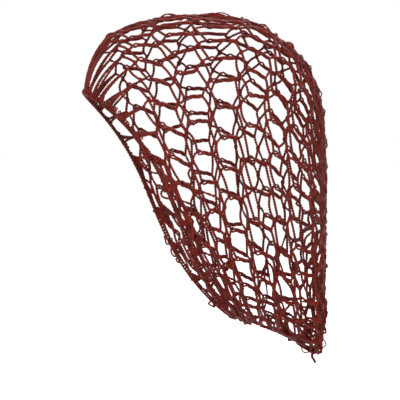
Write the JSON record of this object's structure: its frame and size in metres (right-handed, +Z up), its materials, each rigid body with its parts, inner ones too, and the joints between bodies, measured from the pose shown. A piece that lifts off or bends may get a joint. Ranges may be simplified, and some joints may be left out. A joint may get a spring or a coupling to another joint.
{
  "type": "crochet hair snood",
  "caption": "Open crochet net bag that holds the hair, gathered on an edge band round the face and hanging in a pouch at the back.",
  "frame": {"origin": "inside of the crown's top, where the net rests on the head", "axes": "+Z up, the wearer faces -Y, +X is the wearer's left"},
  "size_m": [0.1976, 0.2251, 0.3146],
  "materials": {
    "net_yarn": "rust red crochet yarn, lightly glossy",
    "band_yarn": "rust red crochet yarn, worked densely"
  },
  "bodies": {
    "root": {"net_bag": "net_yarn", "edge_band": "band_yarn", "back_chain": "net_yarn"}
  },
  "joints": []
}
